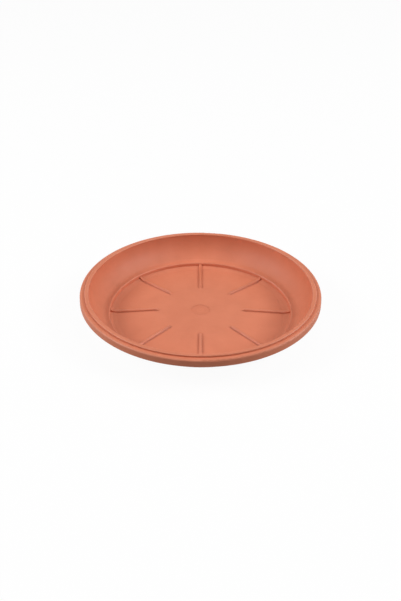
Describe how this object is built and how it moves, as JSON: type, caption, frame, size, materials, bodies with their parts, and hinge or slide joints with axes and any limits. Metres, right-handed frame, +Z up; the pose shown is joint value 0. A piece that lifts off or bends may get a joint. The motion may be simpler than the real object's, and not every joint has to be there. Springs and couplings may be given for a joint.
{
  "type": "plant saucer",
  "caption": "Round moulded plant saucer with a channel rim, hollow-curved side wall, stepped floor with radial ribs and a foot ring.",
  "frame": {"origin": "centre of the foot ring's resting plane, on the saucer's axis", "axes": "+Z up along the saucer's axis, out of its mouth; +X along one of the floor's ribs"},
  "size_m": [0.3, 0.3, 0.041],
  "materials": {
    "moulded_polypropylene": "satin matte, coloured through"
  },
  "bodies": {
    "root": {"saucer": "moulded_polypropylene"}
  },
  "joints": []
}
